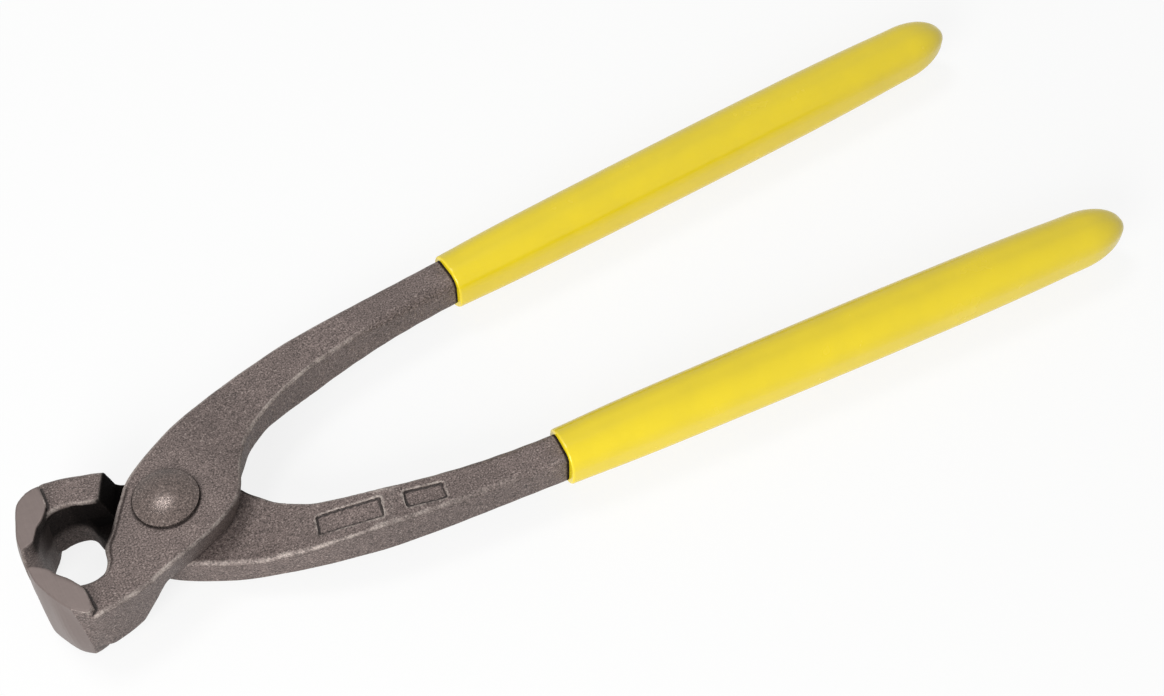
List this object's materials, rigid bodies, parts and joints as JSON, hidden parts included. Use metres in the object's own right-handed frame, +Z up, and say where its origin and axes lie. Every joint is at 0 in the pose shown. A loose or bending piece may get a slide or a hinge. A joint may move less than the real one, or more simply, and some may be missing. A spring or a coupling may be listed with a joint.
{
  "type": "rebar tying pliers",
  "caption": "Steel tying pliers with end-cutting jaws, a riveted lap joint, and long handles in dipped plastic grips, for twisting and cutting binding wire.",
  "frame": {"origin": "centre of the box, at the level of the surface that the tool lies on", "axes": "+X from the jaws to the grips, +Z up along the rivet's axis, the levers one on each side of y = 0"},
  "size_m": [0.25, 0.0804, 0.0208],
  "materials": {
    "forged_steel": "phosphated forging, ground at the jaws",
    "rivet_steel": "phosphated",
    "grip_plastic": "smooth dipped plastic"
  },
  "bodies": {
    "lower_handle": {"lower_lever": "forged_steel", "pivot_rivet": "rivet_steel", "lower_grip": "grip_plastic"},
    "upper_handle": {"upper_lever": "forged_steel", "upper_grip": "grip_plastic"}
  },
  "joints": [
    {"name": "pivot", "type": "hinge", "parent": "lower_handle", "child": "upper_handle", "pos_m": [-0.09379, 0, 0.0104], "axis": [0, 0, 1], "range_deg": [-8.1, 45]}
  ]
}
